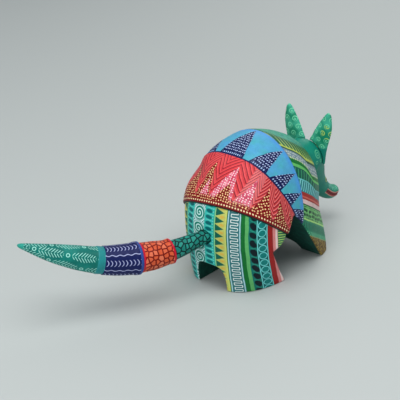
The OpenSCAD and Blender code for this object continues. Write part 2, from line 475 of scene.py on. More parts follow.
# The hind plate's fan of flames: its middle and how much it widens towards the rim, half the
# widest flame, and the pitch of the others to its left and right
FAN_MIDDLE = -11.9
FAN_SPREAD = 0.917
FLAME_HALF = 8.75
FLAME_LEFT, FLAME_RIGHT = 12.9, 7.2


def plate_fan(x, y, z):
    """Where a point of the hind plate lies across the fan of its painted chevrons, which
    widens from its front edge to its rim, counted in flames from the widest one."""
    band, rim = band_distance(y, z), rim_distance(x, y, z) - 0.1
    down = np.clip(band / np.maximum(band + rim, 1), -0.2, 1.2)
    place = (girth(x, y, z) - FAN_MIDDLE) / (1 + FAN_SPREAD * down) + 0.3
    wide = np.abs(place)
    far = np.clip(wide - FLAME_HALF, 0, None) / np.where(place > 0, FLAME_LEFT, FLAME_RIGHT)
    return np.sign(place) * (np.minimum(wide, FLAME_HALF) / (2 * FLAME_HALF) + far)


BAND_SLOPE = 0.58
BAND_BEND = 0.055


def shoulder_sash(y, z):
    """Height of the shoulder band a point is on: bands fall forwards, and bend down before
    the neck, most of all those half-way up."""
    height = z - y * BAND_SLOPE
    return height + BAND_BEND * np.clip(-5 - y, 0, 10) ** 2 * np.exp(-(((height - 64) / 10) ** 2))


def shoulder_along(x, y):
    """How far forward a point of the shoulder is, counted on round the corner of the chest."""
    turned = np.clip((-24 - y) / 14, 0, 1)
    return y - (HALF_W - np.abs(x)) * turned * turned * (3 - 2 * turned)


REGIONS = ("rump", "hind_plate", "middle_plate", "shoulder", "head", "inside")


def body_regions(x, y, z, skin, on_head, in_bore):
    """Which painted region each face of the body belongs to, by number."""
    band, rim = band_distance(y, z), rim_distance(x, y, z)
    region = np.where(y <= SHOULDER_Y, REGIONS.index("shoulder"), REGIONS.index("middle_plate"))
    region = np.where(band > 0, REGIONS.index("hind_plate"), region)
    region = np.where((band > 0) & (rim < -0.1), REGIONS.index("rump"), region)
    cut = (skin < -CUT_DEPTH) & (y > CHEST_Y + 0.6)
    region = np.where(cut | (z < 0.3) | in_bore, REGIONS.index("inside"), region)
    return np.where(on_head & ~in_bore, REGIONS.index("head"), region)


def build_body():
    cell = BODY_CELL
    low, high = (-36.0, -85.5, -1.35), (36.0, 49.5, 84.0)
    x, y, z = grid_axes(low, high, cell)
    body, block, skin, head = body_fields(x, y, z, cell)
    points, quads = field_surface(body, low, cell)
    px, py, pz = points.T
    back, over, *_ = head_place(py, pz)
    fields = {
        "side": px,
        "back": py,
        "up": pz,
        "around": plan_arc(px, py, pz),
        "girth": girth(px, py, pz),
        "fan": plate_fan(px, py, pz),
        "sash": shoulder_sash(py, pz),
        "along": shoulder_along(px, py),
        "band": band_distance(py, pz),
        "rim": rim_distance(px, py, pz),
        "from_nose": back,
        "over": over,
    }
    middle = points[quads].mean(axis=1)
    block_at, head_at = (sample(f, middle, low, cell) for f in (block, head))
    tail_seat = rod(*middle.T, TAIL_FOOT, TAIL_AXIS, TAIL_ROOT_R + 0.35, -20, 20)
    in_bore = np.minimum(tail_seat, ear_rods(*middle.T, 0.3, -9, 1)) < 0
    skin_at = sample(skin, middle, low, cell)
    regions = body_regions(*middle.T, skin_at, head_at < block_at, in_bore)
    return make_mesh("armadillo_body", points, quads, fields, regions)


def build_ear(side):
    cell = EAR_CELL
    low, high = (-1.0, EAR_Y - 4, 49.5), (18.5, EAR_Y + 4, 82.5)
    x, y, z = grid_axes(low, high, cell)
    levels = np.array(EAR_LEVELS, float)
    inner, outer, share = (hermite(z, levels[:, 0], levels[:, i]) for i in (1, 2, 3))
    middle, half = (inner + outer) / 2, np.maximum((outer - inner) / 2, 0.3)
    half_t = np.maximum(share, 0.1) * EAR_T / 2
    leaf = scaled(np.sqrt(((x - middle) / half) ** 2 + ((y - EAR_Y) / half_t) ** 2) - 1, cell)
    leaf = soft_max(leaf, z - 81.4, 0.5)
    front = EAR_Y - EAR_T / 2
    hollow = ((x - middle) / (0.62 * half)) ** 2 + ((y - front) / 1.3) ** 2
    hollow = scaled(np.sqrt(hollow + ((z - 68) / 10) ** 2) - 1, cell)
    leaf = soft_max(leaf, -hollow, 0.8)
    head = head_field(x, y, z, cell)
    leaf = soft_max(leaf, SEAT_GAP - head, 0.4)
    peg = rod(x, y, z, EAR_BASE, EAR_AXIS, EAR_PEG_R, -EAR_PEG_LEN, 3)
    ear = np.minimum(leaf, peg)
    points, quads = field_surface(ear, low, cell)
    leaf_at = sample(leaf, points[quads].mean(axis=1), low, cell)
    if side < 0:
        points = points * [-1, 1, 1]
        quads = quads[:, ::-1]
    fields = dict(zip(("side", "back", "up"), points.T))
    name = "ear_left_leaf" if side > 0 else "ear_right_leaf"
    return make_mesh(name, points, quads, fields, leaf_at > 0.3)


def build_tail():
    sides = TAIL_SIDES
    steps = TAIL_STEPS * (len(TAIL_STATIONS) - 1)
    t, centre = along_stations(TAIL_STATIONS, TAIL_PROFILE[0][0], steps)
    radius = np.interp(t, *np.array(TAIL_PROFILE, float).T)
    # the peg and the round root, as distances along the axis and radii
    seat = SEAT_GAP - TAIL_SEAT
    stem = [
        (seat - TAIL_PEG_LEN, TAIL_PEG_R - 0.5),
        (seat - TAIL_PEG_LEN + 0.5, TAIL_PEG_R),
        (seat, TAIL_PEG_R),
        (seat, TAIL_ROOT_R - 0.3),
        (seat + 0.3, TAIL_ROOT_R),
        (0.9, TAIL_ROOT_R),
    ]
    centre = np.concatenate([[TAIL_AXIS * s + TAIL_FOOT for s, _ in stem], centre])
    radius = np.append([r for _, r in stem], radius)
    t = np.append([s / 22 for s, _ in stem], t)
    ahead = np.gradient(centre, axis=0)
    ahead[: len(stem)] = TAIL_AXIS
    ahead /= np.linalg.norm(ahead, axis=1)[:, None]
    side = np.cross(ahead, [0, 0, 1])
    side /= np.linalg.norm(side, axis=1)[:, None]
    up = np.cross(side, ahead)
    turn = np.arange(sides) / sides
    c, s = np.cos(2 * math.pi * turn), np.sin(2 * math.pi * turn)
    ring = side[:, None] * c[None, :, None] + up[:, None] * s[None, :, None]
    points = (centre[:, None] + radius[:, None, None] * ring).reshape(-1, 3)
    rows = len(centre)
    i, j = np.meshgrid(np.arange(rows - 1), np.arange(sides), indexing="ij")
    a, b = i * sides + j, i * sides + (j + 1) % sides
    quads = np.stack([a, b, b + sides, a + sides], axis=-1).reshape(-1, 4).tolist()
    caps = [list(range(sides))[::-1], list(range((rows - 1) * sides, rows * sides))]
    length = np.append(0, np.cumsum(np.linalg.norm(np.diff(centre, axis=0), axis=1)))
    fields = {
        "station": np.repeat(t, sides),
        "length": np.repeat(length, sides),
        "radius": np.repeat(radius, sides),
        "turn_cos": np.tile(c, rows),
        "turn_sin": np.tile(s, rows),
    }
    bare = np.repeat(np.arange(rows - 1) < 3, sides).tolist() + [True, False]
    return make_mesh("tail_carving", points, quads + caps, fields, bare)


# -------- paint


class Number:
    """A number at every point of a surface, built from shader nodes by plain arithmetic."""

    def __init__(self, tree, socket):
        self.tree, self.socket = tree, socket

    def calc(self, operation, *others):
        values = dict(enumerate((self, *others)))
        return Number(self.tree, add_node(self.tree, "Math", values, operation=operation)[0])

    __add__ = __radd__ = partialmethod(calc, "ADD")
    __sub__ = partialmethod(calc, "SUBTRACT")
    __mul__ = __rmul__ = partialmethod(calc, "MULTIPLY")
    __truediv__ = partialmethod(calc, "DIVIDE")
    __abs__ = partialmethod(calc, "ABSOLUTE")

    def __rsub__(self, other):
        return self * -1 + other

    def wrap(self, period, start=0.0):
        """The signed distance to the nearest of start, start + period, and so on."""
        return (self - start).calc("WRAP", period / 2, -period / 2)

    def count(self, period):
        """Which of 0, period and so on is the nearest."""
        return (self / period).calc("ROUND")


def plug(tree, value, slot):
    """Joins a number or a socket to an input, or sets the input to a constant."""
    value = value.socket if isinstance(value, Number) else value
    if isinstance(value, bpy.types.NodeSocket):
        tree.links.new(value, slot)
    else:
        slot.default_value = value


def add_node(tree, kind, inputs, **settings):
    """Adds a shader node, given its settings and inputs, and returns its outputs."""
    node = tree.nodes.new("ShaderNode" + kind)
    for name, value in settings.items():
        setattr(node, name, value)
    for slot, value in inputs.items():
        plug(tree, value, node.inputs[slot])
    return node.outputs


SOFT = 0.10
GLOSS = 0.14
PAINT_T = 0.12
STREAKS = 0.16


def below(value, edge, soft=SOFT):
    """1 where value is under edge, 0 over it, with a soft step between."""
    inputs = {"Value": value, "From Min": edge - soft, "From Max": edge + soft}
    inputs |= {"To Min": 1, "To Max": 0}
    outputs = add_node(value.tree, "MapRange", inputs, interpolation_type="SMOOTHSTEP")
    return Number(value.tree, outputs["Result"])


def over(value, edge, soft=SOFT):
    return 1 - below(value, edge, soft)


def between(value, low, high, soft=SOFT):
    return below(abs(value - (low + high) / 2), (high - low) / 2, soft)


def either(*masks):
    result = masks[0]
    for mask in masks[1:]:
        result = result.calc("MAXIMUM", mask)
    return result


def hypot(a, b):
    return (a * a + b * b).calc("SQRT")


def bars(value, pitch, half, start=0.0, soft=SOFT):
    """Stripes across value, a pitch apart and twice half wide."""
    return below(abs(value.wrap(pitch, start)), half, soft)


def staggered(u, v, pitch, row, start=0.0):
    """How far a place is from the nearest point of staggered rows."""
    shift = v.count(row).calc("PINGPONG", 1) * (pitch / 2)
    return (u + shift).wrap(pitch, start), v.wrap(row)


def spiral(u, v, pitch, half):
    """A spiral line out from the middle, with its turns a pitch apart."""
    return bars(hypot(u, v) - v.calc("ARCTAN2", u) * (pitch / (2 * math.pi)), pitch, half)


def linear(paint):
    """A shader's colour from a paint's red, green and blue, which go from 0 to 255."""
    shares = [level / 255 for level in paint]
    return (*(c / 12.92 if c <= 0.04045 else ((c + 0.055) / 1.055) ** 2.4 for c in shares), 1.0)


class Paintwork:
    """A material made by laying paint over paint, finished with clear gloss varnish."""

    def __init__(self, name, ground):
        self.material = bpy.data.materials.new(name)
        self.material.use_nodes = True
        self.tree = self.material.node_tree
        self.shader = self.tree.nodes["Principled BSDF"]
        place = {0: add_node(self.tree, "TexCoord", {})["Object"], "Scale": 1 / MM}
        self.place = add_node(self.tree, "VectorMath", place, operation="SCALE")[0]
        self.tint = linear(ground)
        self.height = None

    def read(self, name, shake=0.0):
        """A mesh attribute, shaken a little as a hand would."""
        value = Number(self.tree, add_node(self.tree, "Attribute", {}, attribute_name=name)["Fac"])
        return value + self.swing(0.16, 1, shake * 2) if shake else value

    def noise(self, scale, detail=2.0):
        inputs = {"Vector": self.place, "Scale": scale, "Detail": detail}
        return Number(self.tree, add_node(self.tree, "TexNoise", inputs)["Fac"])

    def pair(self, u, v):
        return add_node(self.tree, "CombineXYZ", {"X": u, "Y": v})["Vector"]

    def voronoi(self, place, scale, randomness, **settings):
        inputs = {"Vector": place, "Scale": scale, "Randomness": randomness}
        return add_node(self.tree, "TexVoronoi", inputs, **settings)

    def cells(self, scale, feature, stretch=(1, 1, 1), randomness=1.0, flat=None):
        """Voronoi cells: the distance to their edges, or a random number for each."""
        place = {0: self.pair(*flat) if flat else self.place, 1: stretch}
        place = add_node(self.tree, "VectorMath", place, operation="MULTIPLY")[0]
        kind = {"voronoi_dimensions": "2D" if flat else "3D", "feature": feature}
        output = "Distance" if feature == "DISTANCE_TO_EDGE" else "Color"
        return Number(self.tree, self.voronoi(place, scale, randomness, **kind)[output])

    def stipple(self, u, v, pitch, radius, randomness=0.5):
        """Dots put down by hand, near enough evenly, over a flat pair of coordinates."""
        place = self.pair(u, v)
        reach = self.voronoi(place, 1 / pitch, randomness, voronoi_dimensions="2D")["Distance"]
        return below(Number(self.tree, reach), radius / pitch, SOFT / pitch)

    def lay(self, mask, paint, raised=0.0):
        """Paints where the mask is 1, and raises the surface there by a share of a coat."""
        coats = {"Factor": mask, "A": self.tint, "B": linear(paint)}
        self.tint = add_node(self.tree, "Mix", coats, data_type="RGBA")["Result"]
        if raised:
            self.height = mask * raised if self.height is None else self.height + mask * raised

    def swing(self, scale, detail, share):
        """Noise about zero."""
        return (self.noise(scale, detail) - 0.5) * share

    def uneven(self):
        """Brush streaks and thin patches, lighter and darker than the paint."""
        streaks = self.swing(0.35, 3, STREAKS) + self.swing(2.6, 2, STREAKS)
        return {"Color": self.tint, "Value": streaks * 2 + 1}

    def varnish(self, roughness=0.5, coat=0.08, coat_roughness=0.2):
        relief = self.swing(1.1, 3, 0.8)
        relief = relief if self.height is None else relief + self.height
        bumps = {"Strength": 0.5, "Distance": PAINT_T * MM, "Height": relief}
        normal = add_node(self.tree, "Bump", bumps)["Normal"]
        finish = {
            "Base Color": add_node(self.tree, "HueSaturation", self.uneven())["Color"],
            "Roughness": self.swing(0.9, 3, 0.18) + roughness,
            "Specular IOR Level": GLOSS,
            "Coat Weight": coat,
            "Coat Roughness": coat_roughness,
            "Normal": normal,
            "Coat Normal": normal,
        }
        for name, value in finish.items():
            plug(self.tree, value, self.shader.inputs[name])
        return self.material


# Paint box: red, green and blue
NAVY = (12, 26, 78)
DEEP_TEAL = (6, 62, 54)
TEAL = (14, 130, 114)
BRIGHT_TEAL = (34, 182, 172)
CYAN = (118, 222, 222)
PALE_AQUA = (196, 240, 238)
WHITE = (226, 240, 238)
YELLOW = (186, 196, 104)
LEMON = (196, 206, 108)
ORANGE = (208, 172, 70)
CREAM = (250, 226, 176)
DARK_GREEN = (12, 108, 44)
LEAF_GREEN = (92, 178, 104)
LIME = (176, 220, 112)
BLACKISH = (2, 26, 34)
SLATE = (40, 100, 112)
SALMON = (236, 112, 112)
SKY = (78, 160, 204)
TURQUOISE = (72, 168, 184)
MID_BLUE = (74, 152, 216)
LILAC = (186, 206, 248)
OCHRE = (150, 124, 48)
BROWN = (92, 66, 26)

# Rump bands, counted round the rump from the middle of the spiral band, and its offset
PAINT_MIDDLE = 6.5
SPIRALS, DASHES, TEETH, KEY, GREEN_A, GREEN_B = 4.25, 11.5, 19.2, 27.2, 29.4, 31.4
DABS, RINGS, RED_STRIPE, PINK_STRIPE = 36.0, 42.7, 46.0, 49.5


def paint_spirals(work, u, z):
    v = z.wrap(9.0, 44.9)
    reach = hypot(u, v)
    lines = spiral(u, v, 1.75, 0.34) * below(reach, 4.0)
    corners = bars(reach, 1.1, 0.2, 4.3) * over(reach, 4.3)
    band = below(abs(u), SPIRALS)
    work.lay(band, TEAL)
    work.lay(band * over(reach, 4.1), PALE_AQUA)
    work.lay(band * lines, PALE_AQUA, raised=1)
    work.lay(band * corners, SLATE)


def paint_dashes(work, w, z):
    band = between(w, SPIRALS, DASHES)
    pitch = 3.4
    work.lay(band, BRIGHT_TEAL)
    dash = below(hypot(z.wrap(pitch) / 1.05, (w - 7.3) / 2.3), 1, 0.2)
    work.lay(band * dash, (2, 100, 104))
    tick = bars(z, pitch, 0.22, pitch / 2) * between(w, 5.2, 9.4)
    bead = bars(z, pitch / 2, 0.4) * between(w, 9.6, 10.5)
    work.lay(band * either(tick, bead), (104, 206, 200), raised=1)
    work.lay(between(w, SPIRALS - 0.1, SPIRALS + 0.5), (60, 190, 180))
    work.lay(between(w, 10.75, 11.0), (30, 128, 120))


def paint_teeth(work, w, z):
    band = between(w, DASHES, TEETH)
    v = z.wrap(4.4)
    work.lay(band, YELLOW, raised=0.5)
    glow = between(w, 14.5, 17.2, 1.0) * over(abs(v), 1.5, 0.5)
    work.lay(band * glow, ORANGE)
    tooth = below(abs(v) - (17.4 - w) * 0.37, 0) * over(w, DASHES + 0.3)
    work.lay(band * tooth, (10, 98, 80))
    work.lay(between(w, DASHES - 0.5, DASHES + 0.2), (118, 208, 150), raised=1)
    work.lay(between(w, 17.9, 18.9), LEMON, raised=0.7)
    work.lay(between(w, 18.9, TEETH + 0.1), DARK_GREEN)


def paint_key(work, w, z):
    """A square meander between two border lines."""
    band = between(w, TEETH, KEY)
    pitch, low, high, line = 3.0, 21.3, 25.4, 0.21
    v = abs(z.wrap(pitch))
    work.lay(band, (44, 112, 118))
    rungs = below(abs(v - pitch / 4), line) * between(w, low, high)
    near = below(abs(w - low), line) * below(v, pitch / 4)
    far = below(abs(w - high), line) * over(v, pitch / 4)
    work.lay(band * either(rungs, near, far), WHITE, raised=1)
    for low in (19.5, 26.3):
        work.lay(band * between(w, low, low + 0.6), (170, 214, 222), raised=1)


def paint_stripes(work, w, stripes, raised=0.4):
    """Plain stripes side by side: low edge, high edge, paint."""
    for low, high, paint in stripes:
        work.lay(between(w, low, high), paint, raised)


def paint_dabs(work, w, z):
    band = between(w, GREEN_B, DABS)
    pitch = 5.3
    lean = z + (w - 33.8) * 0.5 + work.swing(0.35, 1, 1.6)
    work.lay(band, (6, 114, 104))
    dab = hypot((w - 34.0) / 2.05, lean.wrap(pitch) / 2.1)
    ridge = bars(lean, pitch, 0.25, pitch / 2) * between(w, 32.2, DABS)
    work.lay(band * ridge, (40, 142, 122), raised=0.7)
    work.lay(band * below(dab, 1, 0.12), BLACKISH, raised=0.5)


def paint_rings(work, w, z):
    band = between(w, DABS, RINGS)
    work.lay(band, (4, 96, 94))
    ring = hypot((w - 39.3) / 2.45, z.wrap(4.7) / 2.1)
    work.lay(band * below(ring, 0.82, 0.06), (6, 124, 120))
    work.lay(band * between(ring, 0.84, 1.05, 0.05), CYAN, raised=1)
    for line in (36.3, 42.3):
        work.lay(below(abs(w - line), 0.25), CYAN, raised=1)


def rump_material():
    work = Paintwork("paint_rump", (34, 110, 78))
    u = work.read("around", 0.3) - PAINT_MIDDLE
    z = work.read("up", 0.3)
    w = abs(u)
    work.lay(bars(z + w * 0.25, 1.55, 0.3) * between(w, 49.8, 58.5), LIME, raised=1)
    paint_spirals(work, u, z)
    paint_dashes(work, w, z)
    paint_teeth(work, w, z)
    paint_key(work, w, z)
    stripes = [
        (KEY, GREEN_A, DARK_GREEN),
        (GREEN_A, GREEN_B, LEAF_GREEN),
        (RINGS, RED_STRIPE, (156, 26, 26)),
        (RED_STRIPE, PINK_STRIPE, (226, 136, 136)),
        (47.9, 49.3, (242, 214, 210)),
    ]
    paint_stripes(work, w, stripes)
    paint_dabs(work, w, z)
    paint_rings(work, w, z)
    # Painted shadow: a dark teal line along the rim, where the hind plate overhangs the rump.
    work.lay(below(abs(work.read("rim")), 0.5, 0.3), DEEP_TEAL)
    return work.varnish()


# Hind plate: nested chevrons fan out from its front edge, with dotted flames between them
CHEVRON_PITCH = 0.105
CHEVRON_SLOPE = 0.6
FLAME_TIP = 0.19
FLAME_SLOPE = 1.4
CORE_TIP = 0.52
CORE_SLOPE = 1.15
FLANK = 24


def hip_place(work):
    """A pair of coordinates for small dots on the hind plate: across its back and down its
    rear, or back and up where it turns down the flank."""
    side, back, up = (work.read(name, 0.15) for name in ("side", "back", "up"))
    flank = over(abs(side), FLANK, 0.01)
    rear = 1 - flank
    return side * rear + back * flank, (back - up) * rear * 0.8 + up * flank


def hind_plate_material():
    work = Paintwork("paint_hind_plate", (200, 56, 62))
    fan = work.read("fan", 0.02)
    band, rim = work.read("band"), work.read("rim")
    shaken = work.read("band", 0.35)
    down = shaken / (shaken + rim)
    off = fan.wrap(1.0)
    which = fan.count(1.0)
    from_middle = 0.5 - abs(off)
    fold = down + from_middle * CHEVRON_SLOPE

    near = below(fan, -0.5, 0.03)
    work.lay(near * over(fan, -1.5, 0.03), (206, 104, 110))
    work.lay(below(fan, -1.5, 0.04), (182, 44, 48))
    work.lay(over(fan, 0.5, 0.04) * over(work.noise(0.09, 1), 0.45, 0.1), (206, 78, 80))
    light = bars(fold, CHEVRON_PITCH, 0.024, 0.08, 0.008)
    work.lay(light * near, SALMON)
    work.lay(light * (1 - near), (226, 76, 82))
    lines = bars(fold, CHEVRON_PITCH, 0.01, soft=0.006) * over(fold, 0.04)
    work.lay(lines, (96, 10, 34), raised=-0.5)

    flame = over(down - abs(off) * FLAME_SLOPE, FLAME_TIP, 0.012)
    core = over(down - abs(off + 0.1) * CORE_SLOPE, CORE_TIP, 0.02)
    pink = between(which, -1.5, 0.5)
    low = below(rim, 4.5, 1.2)
    inner = core * between(which, -0.5, 1.5)
    dark = either(flame * (1 - pink) * (1 - inner), inner * pink, flame * low)
    rosy = flame * (1 - dark)
    work.lay(rosy, (196, 70, 98))
    work.lay(rosy * over(work.noise(0.22, 1), 0.5, 0.14), (220, 112, 136))
    work.lay(dark, (122, 8, 16))
    place = hip_place(work)
    spots = work.stipple(*place, 1.4, 0.33, 0.45)
    work.lay(rosy * spots, (255, 232, 232), raised=1)
    grains = work.stipple(*place, 1.45, 0.38, 0.45)
    work.lay(dark * grains * over(rim, 2.4), (252, 208, 148), raised=1)

    hem = below(rim, 2.3, 0.2)
    work.lay(hem, (124, 14, 20))
    from_dot = hypot(*staggered(work.read("around", 0.2), rim - 1.3, 1.7, 2.0))
    work.lay(hem * below(from_dot, 0.44), CREAM, raised=1)
    work.lay(below(band, 0.5), NAVY)
    # Painted shade: near black along the plate's overhanging lower edge.
    work.lay(below(rim, 0.12), (40, 10, 12))
    return work.varnish()


CORNER_Z = 42.5


def middle_plate_material():
    work = Paintwork("paint_middle_plate", SKY)
    across = work.read("girth", 0.5)
    ahead = work.read("band", 0.3) * -1
    behind = work.read("back", 0.2) - SHOULDER_Y
    share = ahead / (ahead + behind)
    work.lay(over(work.noise(0.11, 2), 0.52, 0.14) * below(share, 0.75, 0.3), TURQUOISE)
    work.lay(below(behind, 3.0, 1.6), MID_BLUE)
    # triangles get narrower down the sides
    size = abs(across)
    place = size / 27.5 + size * size * 0.00062
    off = place.wrap(1.0)
    point = below(work.read("up"), CORNER_Z, 0.2)
    triangle = either(below(abs(off) - (0.93 - share) * 0.43, 0, 0.01), point)
    work.lay(triangle, NAVY, raised=-0.3)
    marks = work.stipple(across * 1.1 + ahead * 0.3, ahead * 0.85, 1.5, 0.36, 0.3)
    work.lay(triangle * marks * over(ahead, 2.4), LILAC, raised=1)
    foot = between(ahead, 0.8, 1.8) * bars(across, 1.5, 0.36)
    work.lay(foot * below(abs(off), 0.3, 0.02), (160, 190, 232), raised=1)
    work.lay(below(ahead, 0.55), NAVY)
    # Painted shade: a darker blue line along the plate's front edge, where it steps down to the
    # shoulder.
    work.lay(below(behind, 0.35, 0.3), (34, 66, 150))
    return work.varnish()


# Edges of the shoulder bands, from the nape down to the foot
FEATHERS, DOTTED, DARK_BAND, LIGHT_BAND, STROKES = 75.0, 70.0, 67.6, 65.8, 59.8
SLANTS, RED_BAND, WHITE_BAND, SCALES, HATCHED = 52.3, 48.1, 45.5, 36.3, 27.9


def paint_nape(work, back, q, side):
    """Long feathers that rise from a dark line, and loose strokes over the spine."""
    stroke = bars(back + work.noise(0.3, 1) * 3, 2.4, 0.4) * over(work.noise(0.45, 1), 0.45, 0.06)
    work.lay(stroke * over(q, FEATHERS + 5), (74, 178, 128), raised=0.6)
    work.lay(between(q, FEATHERS, FEATHERS + 6, 0.8), (18, 96, 62))
    feather = (back + (q - FEATHERS) * 0.3).wrap(2.5)
    shape = below(abs(feather) - (FEATHERS + 6.5 - q) * 0.085, 0, 0.14) * over(q, FEATHERS)
    work.lay(shape * over(abs(side), 3), (172, 196, 98), raised=1)
    work.lay(between(q, FEATHERS + 0.2, FEATHERS + 1.1), (176, 196, 90), raised=0.7)
    work.lay(between(q, FEATHERS - 0.6, FEATHERS + 0.2), (14, 70, 48))


def shoulder_material():
    work = Paintwork("paint_shoulder", (36, 134, 122))
    back, q = work.read("along", 0.2), work.read("sash", 0.3)
    work.lay(over(work.noise(0.2, 2), 0.52, 0.1), (56, 154, 138))
    paint_nape(work, back, q, work.read("side"))
    stripes = [
        (DOTTED, FEATHERS - 0.6, (118, 142, 152)),
        (DARK_BAND, DOTTED, (12, 112, 44)),
        (LIGHT_BAND, DARK_BAND, (96, 188, 100)),
        (STROKES, LIGHT_BAND, (14, 84, 72)),
        (SLANTS, STROKES, (46, 132, 136)),
        (RED_BAND, SLANTS, (164, 46, 42)),
        (WHITE_BAND, RED_BAND, (226, 196, 194)),
        (SCALES, WHITE_BAND, (118, 196, 116)),
        (HATCHED, SCALES, (34, 138, 104)),
        (-40, HATCHED, OCHRE),
    ]
    paint_stripes(work, q, stripes)
    pale = work.stipple(back, q, 1.4, 0.36) * between(q, DOTTED + 0.9, FEATHERS - 1)
    work.lay(pale, (206, 216, 210), raised=1)
    seam = between(q, WHITE_BAND - 0.7, WHITE_BAND)
    scale = work.stipple(back, q, 2.6, 1.02, 0.35) * between(q, SCALES + 1, WHITE_BAND - 1.2)
    work.lay(either(seam, scale), (6, 74, 44), raised=0.6)
    # rows of short strokes: lean, pitch, half width, low edge, high edge, paint and height
    rows = [
        (0, 1.7, 0.45, DOTTED - 0.1, DOTTED + 0.8, (196, 222, 160), 1),
        (0.5, 2.2, 0.4, STROKES, LIGHT_BAND - 0.6, (50, 142, 100), 0.7),
        (0.55, 1.9, 0.28, SLANTS + 0.5, STROKES - 0.6, (136, 214, 214), 1),
        (-0.15, 1.9, 0.3, HATCHED + 3.0, SCALES - 1.2, (10, 84, 68), 0.7),
        (0, 1.9, 0.34, HATCHED - 0.6, HATCHED + 2.2, (112, 206, 156), 0.8),
    ]
    for lean, pitch, half, low, high, paint, raised in rows:
        work.lay(bars(back + q * lean, pitch, half) * between(q, low, high), paint, raised)
    lines = [
        (STROKES - 0.7, STROKES, (96, 190, 190)),
        (RED_BAND + 0.9, RED_BAND + 1.9, (206, 96, 84)),
        (SCALES - 0.1, SCALES + 0.9, (172, 226, 130)),
    ]
    paint_stripes(work, q, lines, raised=0.7)
    spots = below(work.cells(0.42, "DISTANCE_TO_EDGE"), 0.13, 0.04) * below(q, HATCHED - 0.6)
    work.lay(spots, BROWN)
    return work.varnish()


CHEEK_CURL = (-42.0, 57.0)


def head_material():
    work = Paintwork("paint_head", TEAL)
    nose, up = work.read("from_nose", 0.3), work.read("over", 0.12)
    side, back, height = (work.read(name) for name in ("side", "back", "up"))
    work.lay(over(work.noise(0.14, 2), 0.5, 0.12), (22, 138, 116))
    ridge = between(abs(side), 2.6, 3.4) * over(up, 0) * between(nose, 8, 34, 1)
    work.lay(ridge * bars(nose, 2.0, 0.5), (120, 214, 190), raised=1)
    ring = hypot(back - CHEEK_CURL[0], height - CHEEK_CURL[1])
    curls = either(between(ring, 1.9, 2.4), between(ring, 0.7, 1.1))
    small = hypot((back - CHEEK_CURL[0]).wrap(4.4, 2.2), height - CHEEK_CURL[1] + 4.4)
    beads = between(small, 0.7, 1.1) * between(back, CHEEK_CURL[0] - 6, CHEEK_CURL[0] + 4)
    work.lay(either(curls, beads), (96, 196, 150), raised=1)
    muzzle = below(nose, MOUTH_LEN + 1)
    lip = up + MOUTH_DROP + nose * 0.02
    work.lay(muzzle * over(lip, 2.0, 0.6) * below(nose, 9, 1.5), (40, 146, 118))
    crescent = bars(nose, 2.6, 0.35, 0.6) * between(lip, 2.6, 4.6, 0.4)
    work.lay(muzzle * crescent, (136, 224, 196), raised=0.8)
    work.lay(muzzle * between(lip, -1.6, 1.6), (214, 160, 146), raised=0.5)
    work.lay(muzzle * between(lip, -1.15, 1.15), (140, 32, 36), raised=0.5)
    work.lay(muzzle * between(lip, -0.22, 0.22), (40, 10, 12))
    eye = hypot(hypot(back - EYE[1], height - EYE[2]), (abs(side) - EYE[0]) * 0.6)
    work.lay(below(eye, 2.1), (8, 70, 66))
    work.lay(below(eye, 1.7), LEMON, raised=0.6)
    work.lay(below(eye, 1.15), BLACKISH)
    nostril = hypot(abs(side) - NOSTRIL_X, height - (NOSE_Z + NOSTRIL_RISE))
    nostril = hypot(nostril, (back - NOSE_TIP_Y) * 0.5)
    work.lay(below(nostril, 0.8), BLACKISH)
    return work.varnish()


def inside_material():
    work = Paintwork("paint_inside", DEEP_TEAL)
    work.lay(over(work.noise(0.3, 3), 0.55, 0.15), (12, 80, 68))
    return work.varnish(roughness=0.6, coat=0.05, coat_roughness=0.3)


def ear_material():
    work = Paintwork("paint_ear", (24, 134, 102))
    side, up = abs(work.read("side", 0.3)), work.read("up", 0.3)
    work.lay(over(work.noise(0.17, 2), 0.5, 0.14), (62, 172, 144))
    u, v = staggered(side, up, 5.2, 4.3, 1.2)
    curl = spiral(u, v, 1.15, 0.26) * below(hypot(u, v), 1.75)
    warm = over(work.noise(0.1, 0), 0.56, 0.02)
    work.lay(curl, (114, 214, 172), raised=1)
    work.lay(curl * warm, (170, 204, 92))
    work.lay(below(up, EAR_BASE[2], 0.8), TEAL)
    return work.varnish()


# Tail sections, by the station where each ends
TAIL_ROOT_END, TAIL_ORANGE_END, TAIL_NAVY_END, TAIL_COLLAR_END = 0.958, 1.945, 2.965, 3.14


def tail_turn(work):
    """The angle round the tail, from -pi to pi, with the join on its left side."""
    return (work.read("turn_sin") * -1).calc("ARCTAN2", work.read("turn_cos") * -1)


def tail_coordinates(work, rows, shift=0.0):
    """The nearest of some lines along the tail: how far round from it, and 1 if it is odd."""
    sector = 2 * math.pi / rows
    turn = tail_turn(work) + shift * sector
    return turn.wrap(sector) * work.read("radius"), turn.count(sector).calc("PINGPONG", 1)


def paint_pebbles(work, section, size, pebble, gap, light):
    """Rounded pebbles in two tints with dark gaps, from cells on the unrolled surface."""
    place = work.read("length", 0.2), tail_turn(work) * work.read("radius")
    edge = work.cells(1 / size, "DISTANCE_TO_EDGE", randomness=0.7, flat=place)
    shade = work.cells(1 / size, "F1", randomness=0.7, flat=place)
    work.lay(section, gap)
    stones = over(edge, 0.13, 0.03)
    work.lay(section * stones, pebble, raised=1.4)
    work.lay(section * stones * over(shade, 0.55, 0.1), light)


def paint_navy(work, section, length):
    """Rows of arcs and wavy lines in turn, all round the tail."""
    across, odd = tail_coordinates(work, 12, 0.4)
    work.lay(section, (14, 26, 82))
    arc = bars(length - across * across * 0.36, 2.0, 0.22)
    arcs = arc * below(abs(across), 1.6) * below(odd, 0.5)
    wave = across - (length * 1.5).calc("SINE") * 0.3
    line = between(wave, -0.22, 0.22) * over(odd, 0.5)
    work.lay(section * either(arcs, line), (168, 176, 220), raised=1)


SPRIG_LENGTH = 17.0


